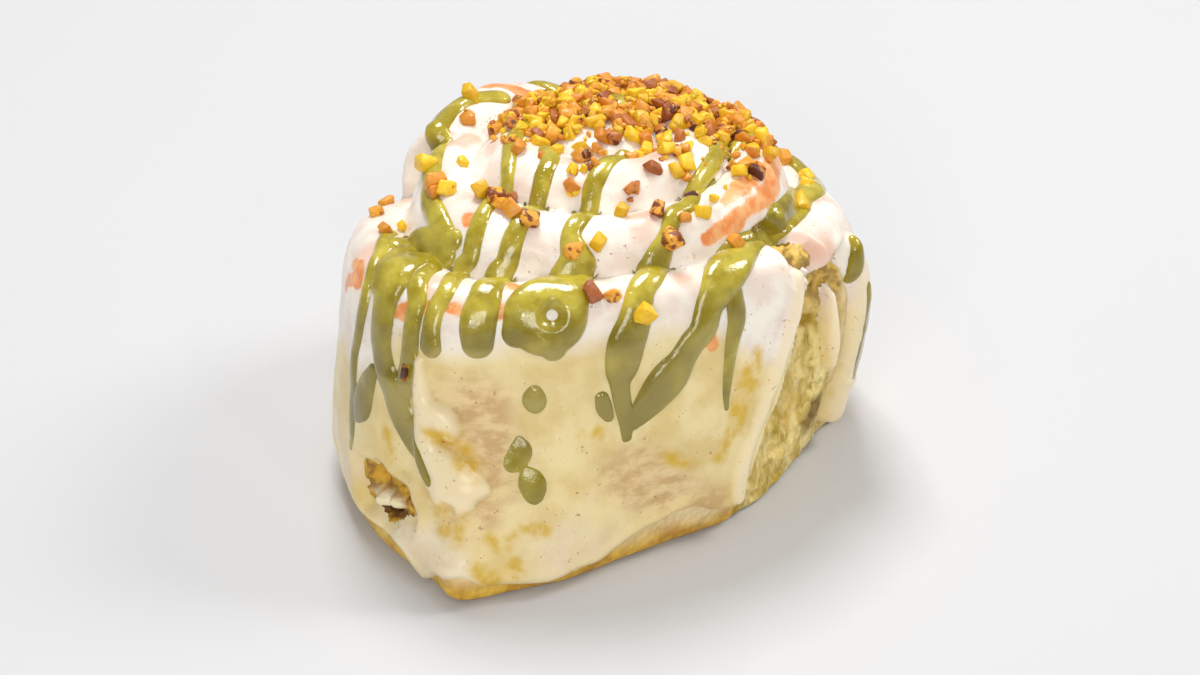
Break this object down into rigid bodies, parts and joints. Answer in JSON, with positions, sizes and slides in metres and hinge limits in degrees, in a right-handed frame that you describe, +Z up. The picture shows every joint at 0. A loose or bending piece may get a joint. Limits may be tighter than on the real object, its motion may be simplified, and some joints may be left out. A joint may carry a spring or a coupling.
{
  "type": "cinnamon roll",
  "caption": "Tall glazed cinnamon roll, one spiral of baked dough under white icing, striped with green pistachio sauce and heaped with chopped pistachios.",
  "frame": {"origin": "on the surface that the roll rests on, under the axis of the coil", "axes": "+Z up through the coil's axis, -Y towards the glazed front, +X to the right seen from the front"},
  "size_m": [0.1022, 0.1039, 0.0705],
  "materials": {
    "dough": "soft baked crumb with a golden crust",
    "icing": "satin white glaze, thin and creamy where it ran down",
    "pistachio_sauce": "wet glossy green sauce",
    "roasted_chip": "roasted nut, satin",
    "green_yellow_chip": "chopped nut kernel, satin",
    "brown_chip": "nut with its brown skin, satin"
  },
  "bodies": {
    "root": {"dough_coil": "dough", "pistachio_chip_01": "roasted_chip", "pistachio_chip_02": "green_yellow_chip", "pistachio_chip_03": "brown_chip", "pistachio_chip_04": "roasted_chip", "pistachio_chip_05": "green_yellow_chip", "pistachio_chip_06": "brown_chip", "pistachio_chip_07": "roasted_chip", "pistachio_chip_08": "green_yellow_chip", "pistachio_chip_09": "brown_chip", "pistachio_chip_10": "roasted_chip", "pistachio_chip_11": "green_yellow_chip", "pistachio_chip_12": "brown_chip", "pistachio_chip_13": "roasted_chip", "pistachio_chip_14": "green_yellow_chip", "pistachio_chip_15": "brown_chip", "pistachio_chip_16": "roasted_chip", "pistachio_chip_17": "green_yellow_chip", "pistachio_chip_18": "brown_chip", "pistachio_chip_19": "roasted_chip", "pistachio_chip_20": "green_yellow_chip", "pistachio_chip_21": "brown_chip", "pistachio_chip_22": "roasted_chip", "pistachio_chip_23": "green_yellow_chip", "pistachio_chip_24": "brown_chip", "pistachio_chip_25": "roasted_chip", "pistachio_chip_26": "green_yellow_chip", "pistachio_chip_27": "brown_chip", "pistachio_chip_28": "roasted_chip", "pistachio_chip_29": "green_yellow_chip", "pistachio_chip_30": "brown_chip", "pistachio_chip_31": "roasted_chip", "pistachio_chip_32": "green_yellow_chip", "pistachio_chip_33": "brown_chip", "pistachio_chip_34": "roasted_chip", "pistachio_chip_35": "green_yellow_chip", "pistachio_chip_36": "brown_chip", "pistachio_chip_37": "roasted_chip", "pistachio_chip_38": "green_yellow_chip", "pistachio_chip_39": "brown_chip", "pistachio_chip_40": "roasted_chip", "pistachio_chip_41": "green_yellow_chip", "pistachio_chip_42": "brown_chip", "sauce_back_left": "pistachio_sauce", "sauce_back_right": "pistachio_sauce", "sauce_far_left": "pistachio_sauce", "sauce_front_left": "pistachio_sauce", "sauce_front_wide": "pistachio_sauce", "sauce_left_branch": "pistachio_sauce", "sauce_left_fall": "pistachio_sauce", "sauce_long_right": "pistachio_sauce", "sauce_middle": "pistachio_sauce", "sauce_pool": "pistachio_sauce", "sauce_right_branch": "pistachio_sauce", "sauce_right_coil": "pistachio_sauce", "sauce_right_side": "pistachio_sauce", "white_icing": "icing"}
  },
  "joints": []
}
